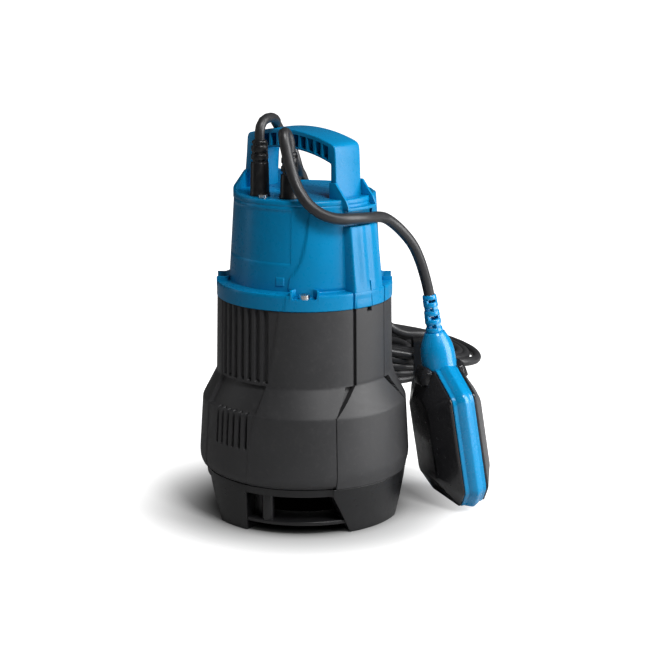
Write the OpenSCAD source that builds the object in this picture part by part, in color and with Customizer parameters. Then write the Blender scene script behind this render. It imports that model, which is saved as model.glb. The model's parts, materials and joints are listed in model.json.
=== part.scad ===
// Submersible sump pump with a float switch: casings, motor, wet end, discharge elbow and cords.
// The motor axis is Z. Z = 0 is the underside of the intake ring, and the feet reach below it.
// +X runs through the carrying handle to the column that guides the float's cord.

/* [Pump housing] */
// Largest radius of the pump housing, near its foot
housing_r = 79; // [78:0.5:80]
// Radius of the barrel just under the flange
barrel_r = 64.8; // [64.4:0.2:65.2]
// Wall thickness of the mouldings
wall = 3; // [2.6:0.2:3.2]
// Number of raised ribs on the barrel
barrel_ribs = 8; // [6:1:9]
// Number of slots in the lower part of the housing
housing_slots = 6; // [4:1:7]

/* [Base] */
// How far the feet reach below the intake ring
foot_drop = 7; // [6:0.5:8]
// Radius of the intake ring's bore
inlet_r = 48; // [44:1:50]

/* [Top cover and handle] */
// Radius of the top cover where it meets its flange
cover_low_r = 55.8; // [55:0.2:56.4]
// Radius of the top cover at its rim
cover_rim_r = 51.7; // [51:0.2:52.2]
// Half the span of the handle, to the outside of its uprights
handle_half = 43; // [42:0.5:43]
// Width of the handle across its grip
handle_w = 27.4; // [26:0.2:28]

/* [Cords] */
// Diameter of the mains cord
mains_d = 7.2; // [7:0.1:7.4]
// Diameter of the float's cord
float_cord_d = 8; // [7.6:0.2:8.2]

/* [Float switch] */
// Width of the float across its blue band
float_w = 80; // [78:1:82]
// Thickness of the blue band
band_t = 17; // [16:0.5:18]
// How far each black shell stands out of the band
shell_h = 13.5; // [12.5:0.5:14]
// How far the float leans from upright, in degrees
float_tilt = 9; // [8:0.5:9.5]

/* [Discharge] */
// Radius of the hose tail
tail_r = 16; // [15.5:0.5:16.5]
// Distance from the motor axis to the hose tail's axis
tail_at = 130; // [129.5:0.5:131]

/* [Hidden] */
$fn = 72;
eps = 0.01;

// Heights of the casings
seam_z = 28;
widest_z = 38;
shoulder_low_z = 80.5;
shoulder_top_z = 101;
flange_z = 157.6;
flange_top_z = 169.4;
deck_z = 235;
lip_t = 3;
lip_r = 50;

// The handle, the column, the front panel and the wide feet stand on one line turned from X
axis_turn = -12;

// The column that carries the cord's notch
column_half = 16;
column_low_r = 64.4;
column_high_r = 59.6;
column_top_z = 216;
shelf_z = 227;
shelf_t = 2.2;
notch_r = 53.6;

// The handle's arch has its crown a little behind the motor axis
arch_r = 132;
arch_x = -5;
crown_z = 280.7;
grip_t = 13.2;
upright_t = 6;

// Directions round the motor axis, in degrees
lug_turns = [-60, 30, 120, 210];
foot_turns = [-12, -106, 82, 168];
outlet_turn = 120;

// Wet end
port_z = 46;
port_r = 14.5;
port_bore = 12;
volute_r = 61.5;
roof_z = 60;
roof_t = 5;
impeller_r = 48;
shaft_r = 6;

// Motor
can_r = 47.5;
shield_z = 86;
core_z = 108;
core_h = 34;
upper_shield_z = 150;

// Glands stand in a row in front of the handle
mains_gland_at = [-17, -35];
float_gland_at = [8, -35];
deck_screws_at = [[-8.5, -44.5], [14, 44.5]];
mains_gland_top = 275;
float_gland_top = 268;

// Hank of stored mains cord
hank_len = 215;
hank_w = 100;
hank_gap = 38;
hank_z = 63.2;
hank_h = 36;
hank_centre = 37.5;

// Float: where its lowest middle stands, which way it hangs and how it is turned
float_at = [98, 67.5, -3.8];
float_bearing = 30;
float_turn = 18;
float_h = 105;
float_pivot = [57, 30, 220.5];

// Routes of the cords, chosen by hand
mains_route = [
    [-17, -35, 275], [-17, -35, 280], [-17, -33.6, 284.4], [-17, -30, 287.8], [-17, -24.5, 289.3], [-17, -18, 289],
    [-17.2, -10, 287.3], [-17.8, -2, 285.9], [-18.6, 6, 285.4], [-19.5, 13, 285.3], [-20.5, 19, 284.6],
    [-21.3, 23.5, 281.5], [-22, 26, 275], [-21.5, 26.5, 266], [-19.5, 27, 257], [-17, 29, 248], [-15.5, 34, 242],
    [-15.5, 42, 240.5], [-17, 50, 239.5], [-19, 57, 233.5], [-20.4, 63.3, 222], [-18.5, 70.1, 208],
    [-15.9, 77.5, 194], [-11.8, 84.4, 180], [-7.7, 91.4, 166], [-3.2, 97.5, 152], [0.8, 102.6, 138],
    [4.7, 107.8, 125], [8.9, 112.5, 114.5], [15.1, 117.8, 107], [23.5, 123.3, 103.1]
];
float_route = [
    [8, -35, 268], [8, -35, 273], [7.5, -36, 278], [7, -38.5, 281.5], [7.5, -42, 282], [9, -44.5, 278.5],
    [11, -45.5, 272], [14.4, -46.7, 262], [19, -47.8, 251], [24.9, -48.9, 241.6], [31.8, -47.9, 233.2], [39.6, -43.6, 226.8],
    [46.5, -37.4, 223.5], [51.5, -30, 222.5], [55, -21, 222], [57, -11, 221.8], [57.8, 0, 221.7], [57.8, 10, 221.5],
    [57.4, 20, 221.2], [57.1, 28.5, 220.7]
];
arm_route = [
    [58.2, 33.6, 218.5], [60, 38, 213], [63.5, 42, 203], [67.5, 46, 191], [71, 49.8, 178], [74, 53, 165],
    [76.7, 55.3, 151.3]
];
tail_cord_route = [
    [-123.2, 97.4, 117.2], [-123.3, 83.5, 118.7], [-118.9, 69.9, 121.7], [-110.2, 58.8, 126.2],
    [-98.2, 54.1, 129.8], [-87.7, 55.9, 131.5], [-78.9, 60.7, 131.6]
];

// ---- Helpers ----

module tube(outer, inner, low, high) {
    translate([0, 0, low])
        difference() {
            cylinder(h = high - low, r = outer);
            translate([0, 0, -1])
                cylinder(h = high - low + 2, r = inner);
        }
}

// A revolved sector between two directions
module sector(from, to) {
    rotate([0, 0, from])
        rotate_extrude(angle = to - from)
            children();
}

// What follows stands at the outlet's direction, with +X pointing out of the pump
module at_outlet() {
    rotate([0, 0, outlet_turn])
        children();
}

// The float's own frame: Z runs up towards its cord and X across its thickness
module in_float() {
    translate(float_at)
        rotate([0, -float_tilt, float_bearing])
            rotate([0, 0, float_turn])
                children();
}

// A tube swept along a route, with its rings square to the path
function unit(v) = v / norm(v);
function heading(p, i) = unit(p[min(i + 1, len(p) - 1)] - p[max(i - 1, 0)]);
function side(d) = abs(d.z) > 0.9 ? unit(cross(d, [1, 0, 0])) : unit(cross(d, [0, 0, 1]));
function carried(s, d) = unit(s - d * (s * d));
function sides(p, i = 0, last = undef) =
    i == len(p) ? [] :
    let (s = i == 0 ? side(heading(p, 0)) : carried(last, heading(p, i)))
    concat([s], sides(p, i + 1, s));

module swept(p, d, n = 10) {
    across = sides(p);
    points = [for (i = [0 : len(p) - 1])
        let (t = heading(p, i), u = across[i], v = cross(t, u))
        for (k = [0 : n - 1]) p[i] + d / 2 * (u * cos(360 * k / n) + v * sin(360 * k / n))];
    walls = [for (i = [0 : len(p) - 2], k = [0 : n - 1])
        let (a = i * n + k, b = i * n + (k + 1) % n)
        each [[a, a + n, b], [b, a + n, b + n]]];
    ends = [[for (k = [0 : n - 1]) k], [for (k = [n - 1 : -1 : 0]) (len(p) - 1) * n + k]];
    polyhedron(points = points, faces = concat(walls, ends), convexity = 6);
}

module screw(shank_d, shank_h, head_d, head_h) {
    cylinder(h = head_h, r = head_d / 2);
    translate([0, 0, -shank_h])
        cylinder(h = shank_h + eps, r = shank_d / 2);
}

// ---- Base and wet end ----

foot_sole_r = 73;
foot_in_r = 57;
window_top_z = 22;
ring_t = 3;
jamb_lean = 21;
base_screw_at = 67.5;

module foot(half_turn, low_r, high_r) {
    difference() {
        sector(-half_turn - 11, half_turn + 11)
            polygon([[foot_in_r, -foot_drop], [low_r, -foot_drop], [high_r, seam_z], [foot_in_r, seam_z]]);
        for (s = [-1, 1])
            mirror([0, s < 0 ? 1 : 0, 0])
                rotate([0, 0, half_turn])
                    translate([0, 0, -foot_drop])
                        rotate([-jamb_lean, 0, 0])
                            translate([40, 0, -20])
                                cube([50, 40, 80]);
    }
}

module suction_base() {
    color([0.16, 0.16, 0.17])
        difference() {
            union() {
                tube(72.6, inlet_r, 0, ring_t);
                rotate_extrude()
                    polygon([[69, window_top_z], [72.6, window_top_z], [73, seam_z - 0.3], [69, seam_z - 0.3]]);
                for (a = [-83, 59])
                    rotate([0, 0, a])
                        translate([67.5, 0, 0.4])
                            cylinder(h = seam_z - 1, r = 4.5);
                rotate([0, 0, axis_turn])
                    foot(20.7, foot_sole_r, 77);
                rotate([0, 0, axis_turn + 180])
                    foot(20.7, foot_sole_r, 74.2);
                for (a = [-106, 82])
                    rotate([0, 0, a])
                        foot(11, foot_sole_r, 74.2);
            }
            for (a = foot_turns)
                rotate([0, 0, a]) {
                    translate([base_screw_at, 0, -foot_drop - 1])
                        cylinder(h = foot_drop + 10, r = 4.4);
                    translate([base_screw_at, 0, -foot_drop - 1])
                        cylinder(h = 60, r = 2.2);
                }
        }
}

module base_screws() {
    color("silver")
        for (a = foot_turns)
            rotate([0, 0, a])
                translate([base_screw_at, 0, 9])
                    mirror([0, 0, 1])
                        screw(4, 32, 8, 3);
}

module suction_plate() {
    color([0.2, 0.2, 0.21])
        difference() {
            union() {
                translate([0, 0, seam_z])
                    cylinder(h = 3, r = 72.5);
                cylinder(h = 34, r = 25);
            }
            translate([0, 0, -1])
                cylinder(h = 40, r = 21);
            translate([0, 0, -1])
                cylinder(h = seam_z - 2, r = 26);
            for (a = foot_turns)
                rotate([0, 0, a])
                    translate([base_screw_at, 0, 20])
                        cylinder(h = 20, r = 2.2);
        }
}

module pump_housing() {
    color([0.17, 0.17, 0.18])
        difference() {
            union() {
                rotate_extrude()
                    polygon([[73.6, seam_z], [77.6, seam_z + 3.6], [housing_r, widest_z], [76.6, shoulder_low_z],
                        [65.8, shoulder_top_z], [barrel_r, flange_z], [lip_r, flange_z],
                        [lip_r, flange_z - lip_t], [barrel_r - wall, flange_z - lip_t],
                        [65.8 - wall, shoulder_top_z - 1], [76.6 - wall, shoulder_low_z - 1.6],
                        [housing_r - wall, widest_z], [73, seam_z + 3], [73, seam_z]]);
                // The plain panel under the column, wider on the lower part
                sector(-26.5, 2.5)
                    polygon([[64, shoulder_top_z - 4], [66.6, shoulder_top_z], [65.6, flange_z - 0.6], [62.4, flange_z - 0.6]]);
                sector(-42.7, 18.7)
                    polygon([[74.5, seam_z], [77, seam_z], [housing_r + 0.6, widest_z + 4],
                        [77.2, shoulder_low_z], [74.8, shoulder_low_z]]);
                for (i = [0 : barrel_ribs - 1])
                    rotate([0, 0, -126.5 + 6.3 * i])
                        translate([63.6, -0.8, shoulder_top_z + 6])
                            cube([3.3, 1.6, flange_z - shoulder_top_z - 7]);
                // The seat of the discharge elbow
                at_outlet()
                    translate([74, 0, port_z])
                        rotate([0, 90, 0])
                            cylinder(h = 7.2, r = port_r + 2.5);
                // Bosses that the cover's screws bite into
                for (a = lug_turns)
                    rotate([0, 0, a])
                        translate([60.4, 0, flange_z - 18.5])
                            cylinder(h = 17, r = 4.2);
                // Bosses that the base's screws bite into
                for (a = foot_turns)
                    rotate([0, 0, a]) {
                        translate([base_screw_at, 0, 34.2])
                            cylinder(h = 12, r = 4.6);
                        translate([base_screw_at, -3, 34.2])
                            cube([9.8, 6, 12]);
                    }
            }
            for (i = [0 : housing_slots - 1])
                rotate([0, 0, -116.3 + 4.5 * i])
                    translate([75.4, -0.9, 55])
                        cube([6, 1.8, 27]);
            for (a = foot_turns)
                rotate([0, 0, a])
                    translate([base_screw_at, 0, 30])
                        cylinder(h = 14, r = 1.8);
            at_outlet()
                translate([60, 0, port_z])
                    rotate([0, 90, 0])
                        cylinder(h = 30, r = port_r + 0.1);
            translate([0, 0, flange_z - 1.7])
                tube(56.4, 53.6, 0, 3);
            for (a = lug_turns)
                rotate([0, 0, a])
                    translate([60.8, 0, flange_z - 17])
                        cylinder(h = 30, r = 1.7);
        }
}

module volute() {
    color([0.24, 0.24, 0.25])
        difference() {
            union() {
                tube(72.4, volute_r - 4, 31, 34);
                tube(volute_r, volute_r - 4, 31, roof_z + roof_t);
                translate([0, 0, roof_z])
                    cylinder(h = roof_t, r = volute_r - 3);
                at_outlet()
                    translate([volute_r - 4, 0, port_z])
                        rotate([0, 90, 0])
                            cylinder(h = 92 - volute_r, r = port_r);
            }
            at_outlet()
                translate([40, 0, port_z])
                    rotate([0, 90, 0])
                        cylinder(h = 60, r = port_bore);
            translate([0, 0, roof_z - 1])
                cylinder(h = roof_t + 2, r = 13);
            for (a = foot_turns)
                rotate([0, 0, a])
                    translate([base_screw_at, 0, 30])
                        cylinder(h = 4.1, r = 2.4);
        }
}

collar_z = 57;

module discharge_elbow() {
    color([0.16, 0.16, 0.17])
        at_outlet()
            difference() {
                union() {
                    translate([84, 0, port_z])
                        rotate([0, 90, 0])
                            cylinder(h = 14, r = port_r + 2.5);
                    translate([98, 0, port_z])
                        rotate([0, 90, 0])
                            cylinder(h = tail_at - 98, r = port_r);
                    translate([tail_at, 0, port_z])
                        sphere(r = port_r);
                    translate([tail_at, 0, port_z])
                        cylinder(h = collar_z - port_z, r = port_r);
                    translate([tail_at, 0, collar_z])
                        cylinder(h = 6, r = 24);
                    translate([tail_at, 0, collar_z])
                        cylinder(h = 146 - collar_z, r = tail_r);
                    for (i = [0 : 2])
                        translate([tail_at, 0, 74 + 13 * i])
                            cylinder(h = 8, r1 = tail_r + 1.6, r2 = tail_r - 0.2);
                }
                translate([70, 0, port_z])
                    rotate([0, 90, 0])
                        cylinder(h = tail_at - 70, r = port_bore);
                translate([tail_at, 0, port_z])
                    sphere(r = port_bore);
                translate([tail_at, 0, port_z])
                    cylinder(h = 110, r = port_bore);
                translate([80, 0, port_z])
                    rotate([0, 90, 0])
                        cylinder(h = 8 + eps, r = port_r);
            }
}

module elbow_seal() {
    color([0.05, 0.05, 0.05])
        at_outlet()
            translate([81.3, 0, port_z])
                rotate([0, 90, 0])
                    tube(port_r + 2.5, port_r, 0, 2.7);
}

module oil_chamber() {
    color([0.3, 0.3, 0.31])
        tube(30, 26, roof_z + roof_t, shield_z);
}

module seal_seat() {
    color([0.85, 0.83, 0.78])
        tube(13, 7, roof_z, roof_z + 6);
}

module lip_seal() {
    color([0.1, 0.1, 0.1])
        tube(11, shaft_r + 0.05, shield_z, shield_z + 5);
}

// ---- Motor ----

bearing_out_r = 16;
race_out_r = 13.4;
race_in_r = 8.6;
ball_ring_r = 11;
bearing_ball_r = 2.35;
lower_bearing_z = 92;
upper_bearing_z = 141;
bearing_h = 8.8;

module lower_end_shield() {
    color([0.72, 0.73, 0.75])
        difference() {
            union() {
                translate([0, 0, shield_z])
                    cylinder(h = 6, r = can_r);
                translate([0, 0, shield_z])
                    cylinder(h = 15, r = 19);
            }
            translate([0, 0, shield_z - 1])
                cylinder(h = 6, r = 11);
            translate([0, 0, shield_z - 1])
                cylinder(h = 20, r = 7);
            translate([0, 0, lower_bearing_z])
                cylinder(h = 20, r = bearing_out_r);
        }
}

module motor_can() {
    color([0.75, 0.76, 0.78])
        tube(can_r, can_r - 1.5, shield_z + 6, upper_shield_z);
}

module upper_end_shield() {
    color([0.72, 0.73, 0.75])
        difference() {
            union() {
                translate([0, 0, upper_shield_z])
                    cylinder(h = flange_z - lip_t - upper_shield_z, r = 61);
                translate([0, 0, upper_bearing_z])
                    cylinder(h = 10, r = 19);
            }
            translate([0, 0, upper_bearing_z - 1])
                cylinder(h = bearing_h + 1.2, r = bearing_out_r);
            for (i = [0 : 2])
                rotate([0, 0, 30 + 120 * i])
                    translate([38, 0, upper_shield_z - 1])
                        cylinder(h = 10, r = 3.5);
            for (a = lug_turns)
                rotate([0, 0, a])
                    translate([60.4, 0, upper_shield_z - 1])
                        cylinder(h = 10, r = 5);
        }
}

module stator_core() {
    color([0.45, 0.46, 0.48])
        difference() {
            translate([0, 0, core_z])
                cylinder(h = core_h, r = 45.8);
            translate([0, 0, core_z - 1])
                cylinder(h = core_h + 2, r = 26);
            for (i = [0 : 11])
                rotate([0, 0, 30 * i])
                    translate([29, -3, core_z - 1])
                        cube([10, 6, core_h + 2]);
        }
}

module stator_windings() {
    color([0.72, 0.4, 0.2])
        for (z = [core_z - 7.5, core_z + core_h])
            rotate_extrude()
                translate([35, z + 3.7])
                    intersection() {
                        circle(r = 6.6);
                        square([13.2, 7.3], center = true);
                    }
}

module lower_bearing_ring() {
    color([0.8, 0.81, 0.83])
        tube(bearing_out_r, race_out_r, lower_bearing_z, lower_bearing_z + bearing_h);
}

module upper_bearing_ring() {
    color([0.8, 0.81, 0.83])
        tube(bearing_out_r, race_out_r, upper_bearing_z, upper_bearing_z + bearing_h);
}

module bearing_balls() {
    color([0.85, 0.86, 0.88])
        for (z = [lower_bearing_z, upper_bearing_z], i = [0 : 7])
            rotate([0, 0, 45 * i])
                translate([ball_ring_r, 0, z + bearing_h / 2])
                    sphere(r = bearing_ball_r);
}

module shaft() {
    color([0.78, 0.79, 0.81]) {
        translate([0, 0, 40])
            cylinder(h = 109.6, r = shaft_r);
        translate([0, 0, 33])
            cylinder(h = 8, r = 4);
    }
}

module shaft_bearing_rings() {
    color([0.8, 0.81, 0.83])
        for (z = [lower_bearing_z, upper_bearing_z])
            tube(race_in_r, shaft_r, z, z + bearing_h - 0.2);
}

module rotor_core() {
    color([0.55, 0.56, 0.58])
        tube(25.4, shaft_r, core_z, core_z + core_h - 1.4);
}

// One vane is an arc of a ring, leaning back against the turn
module vane() {
    linear_extrude(height = 14)
        intersection() {
            translate([24, -16])
                difference() {
                    circle(r = 28);
                    circle(r = 25.6);
                }
            translate([8, 0])
                square([34, 24]);
        }
}

module impeller() {
    color([0.3, 0.31, 0.33])
        difference() {
            union() {
                translate([0, 0, 54])
                    cylinder(h = 3, r = impeller_r);
                translate([0, 0, 40.4])
                    cylinder(h = 17.6, r = 10);
                for (i = [0 : 5])
                    rotate([0, 0, 60 * i])
                        translate([0, 0, 41])
                            vane();
            }
            translate([0, 0, 30])
                cylinder(h = 40, r = shaft_r);
        }
}

module impeller_nut() {
    color("silver")
        difference() {
            translate([0, 0, 35])
                cylinder(h = 5, r = 8, $fn = 6);
            translate([0, 0, 30])
                cylinder(h = 20, r = 4);
        }
}

module seal_face() {
    color([0.15, 0.15, 0.16]) {
        tube(12, shaft_r, 66.2, 70);
        tube(10.5, shaft_r, 79, 82);
    }
}

module seal_spring() {
    turns = 4;
    steps = 14;
    color([0.7, 0.71, 0.73])
        swept([for (i = [0 : turns * steps])
            [8.6 * cos(360 * i / steps), 8.6 * sin(360 * i / steps), 70.8 + 7.4 * i / (turns * steps)]], 1.4, 8);
}

// ---- Top cover, handle and what is inside them ----

module top_cover() {
    color([0.02, 0.5, 0.85])
        difference() {
            union() {
                translate([0, 0, flange_z])
                    cylinder(h = flange_top_z - flange_z, r = barrel_r + 0.3);
                translate([0, 0, flange_top_z - eps])
                    cylinder(h = deck_z - flange_top_z, r1 = cover_low_r, r2 = cover_rim_r);
                // The column, as far as the notch, and the cheeks above it
                rotate([0, 0, axis_turn])
                    intersection() {
                        translate([0, 0, flange_z])
                            cylinder(h = column_top_z - flange_z, r1 = column_low_r, r2 = column_high_r);
                        translate([20, -column_half, flange_z])
                            cube([60, 2 * column_half, 90]);
                    }
                rotate([0, 0, axis_turn])
                    intersection() {
                        translate([0, 0, column_top_z - 1])
                            cylinder(h = 20, r1 = column_high_r, r2 = 56.8);
                        translate([20, -column_half, column_top_z - 1])
                            cube([60, 2 * column_half, 20]);
                    }
                // Lugs with a six-sided frame round each screw
                for (a = lug_turns)
                    rotate([0, 0, a])
                        translate([60.5, 0, flange_z + 3])
                            cylinder(h = 11, r = 8, $fn = 6);
            }
            difference() {
                translate([0, 0, flange_z - 1])
                    cylinder(h = deck_z - flange_z - 2, r1 = cover_low_r - wall, r2 = cover_rim_r - wall);
                rotate([0, 0, axis_turn])
                    translate([40, -18, 217])
                        cube([16, 36, 40]);
            }
            // The cord's notch runs right across the column under its shelf, wider where the cord comes in
            rotate([0, 0, axis_turn])
                translate([0, 0, column_top_z])
                    linear_extrude(height = shelf_z - column_top_z)
                        polygon([[notch_r, 5], [51, 17], [51, 40], [74, 40], [74, -40], [50, -40], [50.5, -20],
                            [notch_r, -6]]);
            // Between the cheeks the rim is open down to the shelf
            rotate([0, 0, axis_turn])
                translate([handle_half + 0.4, -column_half + 2.2, shelf_z + shelf_t])
                    cube([30, 2 * column_half - 4.4, 20]);
            for (a = lug_turns)
                rotate([0, 0, a]) {
                    translate([60.8, 0, flange_top_z - 3])
                        cylinder(h = 20, r = 4.4);
                    translate([60.8, 0, flange_z - 1])
                        cylinder(h = 30, r = 2.1);
                }
            for (p = [mains_gland_at, float_gland_at])
                translate([p.x, p.y, deck_z - 10])
                    cylinder(h = 20, r = 5);
            for (p = deck_screws_at)
                translate([p.x, p.y, deck_z - 10])
                    cylinder(h = 20, r = 1.6);
        }
}

module handle_side() {
    difference() {
        intersection() {
            translate([arch_x, crown_z - arch_r])
                circle(r = arch_r, $fn = 180);
            translate([-handle_half, deck_z])
                square([2 * handle_half, 60]);
        }
        intersection() {
            translate([arch_x, crown_z - arch_r])
                circle(r = arch_r - grip_t, $fn = 180);
            translate([upright_t - handle_half, deck_z - 1])
                square([2 * (handle_half - upright_t), 60]);
        }
    }
}

module carry_handle() {
    color([0.02, 0.5, 0.85])
        rotate([0, 0, axis_turn])
            difference() {
                translate([0, handle_w / 2, 0])
                    rotate([90, 0, 0])
                        linear_extrude(height = handle_w)
                            handle_side();
                // Pockets along both sides of the grip, with thin walls between them
                for (y = [-handle_w / 2 - 1, 4])
                    translate([0, y + handle_w / 2 - 3, 0])
                        rotate([90, 0, 0])
                            linear_extrude(height = handle_w / 2 - 3)
                                for (i = [0 : 8])
                                    intersection() {
                                        difference() {
                                            translate([arch_x, crown_z - arch_r])
                                                circle(r = arch_r - 3, $fn = 180);
                                            translate([arch_x, crown_z - arch_r])
                                                circle(r = arch_r - grip_t + 1.4, $fn = 180);
                                        }
                                        translate([-34.5 + 7.4 * i, 240])
                                            square([5.4, 60]);
                                    }
            }
}

module cover_screws() {
    color("silver")
        for (a = lug_turns)
            rotate([0, 0, a])
                translate([60.8, 0, flange_top_z - 3])
                    difference() {
                        screw(4, 18, 7.8, 3.2);
                        for (t = [0, 90])
                            rotate([0, 0, t])
                                translate([-2, -0.5, 1.6])
                                    cube([4, 1, 3]);
                    }
}

module deck_screws() {
    color("silver")
        for (p = deck_screws_at)
            translate([p.x, p.y, deck_z])
                difference() {
                    screw(3, 9, 6.4, 2.2);
                    for (t = [0, 90])
                        rotate([0, 0, t])
                            translate([-1.7, -0.4, 1.1])
                                cube([3.4, 0.8, 2]);
                }
}

// A moulded rubber boot with ring grooves near its mouth, and a neck through the deck
module gland(at, top) {
    translate([at.x, at.y, 0])
        rotate_extrude()
            polygon([[0, deck_z - 7], [4.9, deck_z - 7], [4.9, deck_z + eps], [6.8, deck_z + eps], [6.3, top - 16],
                [5.2, top - 15.4], [5.2, top - 13.6], [6.2, top - 13], [6.2, top - 10], [5.1, top - 9.4],
                [5.1, top - 7.6], [6, top - 7], [5.9, top - 4], [4.9, top - 3.4], [4.9, top - 2.2], [5.4, top - 1.6],
                [4.9, top], [0, top]]);
}

module mains_gland() {
    color([0.08, 0.08, 0.09])
        gland(mains_gland_at, mains_gland_top);
}

module float_gland() {
    color([0.08, 0.08, 0.09])
        gland(float_gland_at, float_gland_top);
}

capacitor_at = [-20, 16];
capacitor_r = 17;
block_at = [6, -20, 154.6];

module capacitor() {
    color([0.85, 0.86, 0.88])
        translate([capacitor_at.x, capacitor_at.y, flange_z - lip_t]) {
            cylinder(h = 58, r = capacitor_r);
            for (s = [-1, 1])
                translate([5 * s, 0, 57])
                    cylinder(h = 8, r = 1.6);
        }
}

module capacitor_strap() {
    color([0.1, 0.1, 0.11])
        translate([capacitor_at.x, capacitor_at.y, 0]) {
            tube(capacitor_r + 1.4, capacitor_r, 180, 190);
            difference() {
                translate([capacitor_r + 0.8, -4, 154.6])
                    cube([3, 8, 36]);
                translate([0, 0, 150])
                    cylinder(h = 60, r = capacitor_r + 0.4);
            }
        }
}

module terminal_block() {
    color([0.9, 0.9, 0.88])
        difference() {
            translate(block_at)
                cube([36, 12, 20]);
            for (i = [0 : 3])
                translate([block_at.x + 4.5 + 9 * i, block_at.y - 1, block_at.z + 10])
                    rotate([-90, 0, 0])
                        cylinder(h = 14, r = 2.4);
        }
}

module thermal_cutout() {
    color([0.2, 0.2, 0.22])
        translate([22, 16, flange_z - lip_t])
            cylinder(h = 7, r = 8);
}

module internal_leads() {
    color([0.45, 0.25, 0.12]) {
        swept([[-17, -35, 228], [-17, -34, 222], [-14, -31, 212], [-6, -27, 202], [4, -22, 194], [11, -16, 187],
            [14, -14, 180], [14, -14, 174.6]], 3, 8);
        swept([[8, -35, 228], [9, -34, 222], [13, -31, 212], [19, -27, 203], [26, -20, 195], [31, -15, 188],
            [32, -14, 181], [32, -14, 174.6]], 3, 8);
        swept([[-15, 16, 219.7], [-14.6, 15.6, 222], [-11, 12.5, 224], [-4, 6, 221], [6, -3, 213], [16, -10, 202], [22, -13, 190],
            [23, -14, 182], [23, -14, 174.6]], 2.4, 8);
        swept([[22, 16, 161.6], [22, 15, 168], [23, 10, 176], [25, 3, 184], [27, -5, 187], [28, -11, 185],
            [27.6, -14, 181], [27.6, -14, 174.6]], 2.4, 8);
    }
}

module housing_o_ring() {
    color([0.05, 0.05, 0.05])
        rotate_extrude()
            translate([55, flange_z - 0.88])
                circle(r = 0.8, $fn = 24);
}

// ---- Cords, hank and plug ----

module float_cord_fixed() {
    color([0.2, 0.2, 0.21])
        swept(float_route, float_cord_d);
}

module mains_cord_lead() {
    color([0.2, 0.2, 0.21])
        swept(mains_route, mains_d);
}

module mains_cord_tail() {
    color([0.2, 0.2, 0.21])
        swept(tail_cord_route, mains_d);
}

module stadium(length, width) {
    for (s = [-1, 1])
        translate([s * (length - width) / 2, 0])
            circle(r = width / 2);
    square([length - width, width], center = true);
}

// The hank lies behind the pump, slipped over the hose tail
module at_hank() {
    rotate([0, 0, outlet_turn - 90])
        translate([hank_centre, tail_at, hank_z])
            children();
}

module mains_cord_hank() {
    color([0.2, 0.2, 0.21]) {
        at_hank()
            linear_extrude(height = hank_h)
                difference() {
                    stadium(hank_len, hank_w);
                    stadium(hank_len - hank_w + hank_gap, hank_gap);
                }
        // A few shorter turns lie on top, behind the barrel
        at_hank()
            translate([-42.5, 0, hank_h - eps])
                linear_extrude(height = 14.4)
                    difference() {
                        stadium(129, hank_w - 2);
                        stadium(70, hank_gap + 1);
                    }
    }
}

module hank_tie() {
    color([0.04, 0.04, 0.04])
        at_hank()
            translate([53.5, -hank_w / 2, 0])
                difference() {
                    translate([-4, -1.6, -1.6])
                        cube([8, 34.2, hank_h + 3.2]);
                    translate([-5, 0, 0])
                        cube([10, 31, hank_h]);
                }
}

plug_z = 131.6;
plug_r = 18;

// The plug lies along the hank, between the hose tail and the barrel
module at_plug() {
    rotate([0, 0, outlet_turn - 90])
        translate([-38, 92, plug_z])
            rotate([0, 90, 0])
                children();
}

module mains_plug() {
    color([0.1, 0.1, 0.11])
        at_plug()
            rotate_extrude()
                polygon([[0, 0], [4.6, 0], [6.4, 22], [12, 28], [15.5, 34], [15.5, 42], [plug_r, 46], [plug_r, 60],
                    [16.8, 62], [0, 62]]);
}

module plug_pins() {
    color([0.78, 0.78, 0.8])
        at_plug()
            for (s = [-1, 1])
                translate([9.5 * s, 0, 62])
                    cylinder(h = 19, r = 2.4);
}

// ---- Float switch ----

// Half of the float's outline, in its own Y and Z, drawn in by a margin
function outline(m) = [
    [-27 + m / 2, m], [27 - m / 2, m], [float_w / 2 - m, 13.5 + m / 2], [float_w / 2 - m, 87 - m / 2],
    [14 - m / 4, float_h - m], [-14 + m / 4, float_h - m], [m - float_w / 2, 87 - m / 2],
    [m - float_w / 2, 13.5 + m / 2]];

// A flat piece with that outline, from one X to another
module slab(margin, from, to) {
    translate([from, 0, 0])
        rotate([90, 0, 90])
            linear_extrude(height = to - from)
                polygon(outline(margin));
}

module float_band() {
    color([0.02, 0.55, 0.9])
        in_float() {
            difference() {
                slab(0, -band_t / 2, band_t / 2);
                slab(2.6, -band_t, band_t);
            }
            translate([0, 0, float_h - eps])
                cylinder(h = 21, r1 = 13.2, r2 = 12.2);
            translate([0, 0, float_h + 21 - 2 * eps])
                cylinder(h = 5, r1 = 12.2, r2 = 6.6);
        }
}

module float_shell(s) {
    color([0.03, 0.03, 0.035])
        in_float()
            mirror([s < 0 ? 1 : 0, 0, 0])
                difference() {
                    hull() {
                        slab(0.6, band_t / 2 + 0.05, band_t / 2 + 1.5);
                        slab(20, band_t / 2 + shell_h - 0.5, band_t / 2 + shell_h);
                    }
                    hull() {
                        slab(3.4, band_t / 2 - 1, band_t / 2 + 0.1);
                        slab(22, band_t / 2 + shell_h - 3, band_t / 2 + shell_h - 2.6);
                    }
                }
}

module float_left_shell() {
    float_shell(-1);
}

module float_right_shell() {
    float_shell(1);
}

relief_z = 131;

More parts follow.
